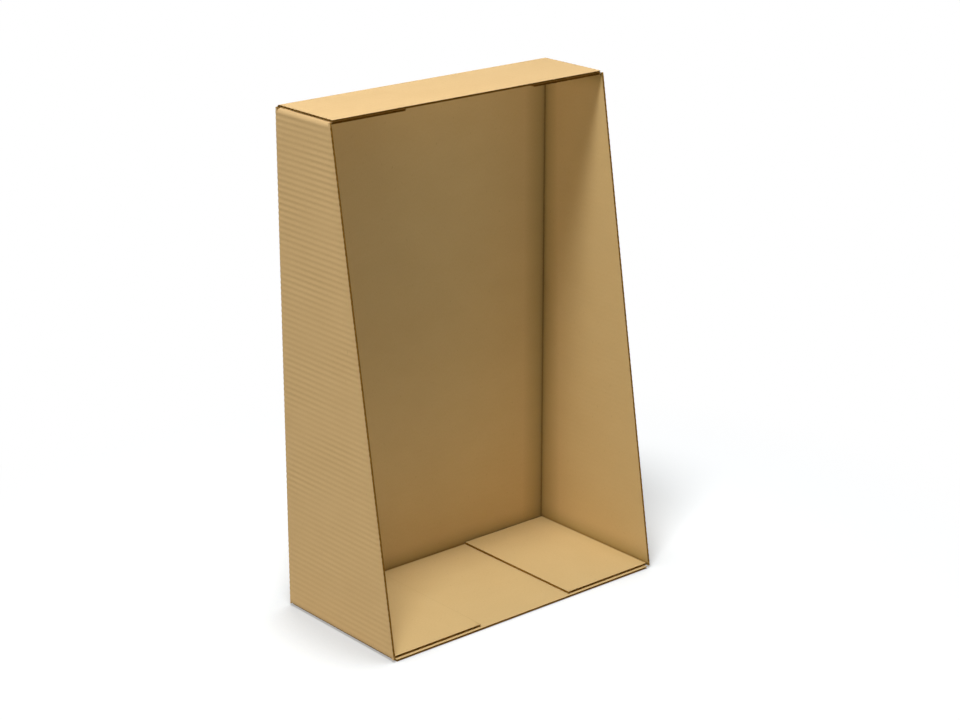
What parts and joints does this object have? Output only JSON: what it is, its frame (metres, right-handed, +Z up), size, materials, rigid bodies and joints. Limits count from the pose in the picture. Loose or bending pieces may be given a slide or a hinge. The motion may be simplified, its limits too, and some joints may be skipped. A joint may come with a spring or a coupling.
{
  "type": "cardboard display stand",
  "caption": "Tall open-fronted stand folded from corrugated board, with slanted side walls, flaps and glued top and bottom panels, that holds and shows goods.",
  "frame": {"origin": "on the ground under the middle of the footprint", "axes": "+Z up, -Y out of the open front, +X to the right of someone who faces the back panel from the front"},
  "size_m": [0.386, 0.193, 0.582],
  "materials": {
    "kraft_board": "matt brown kraft paper"
  },
  "bodies": {
    "root": {"folded_blank": "kraft_board"}
  },
  "joints": []
}
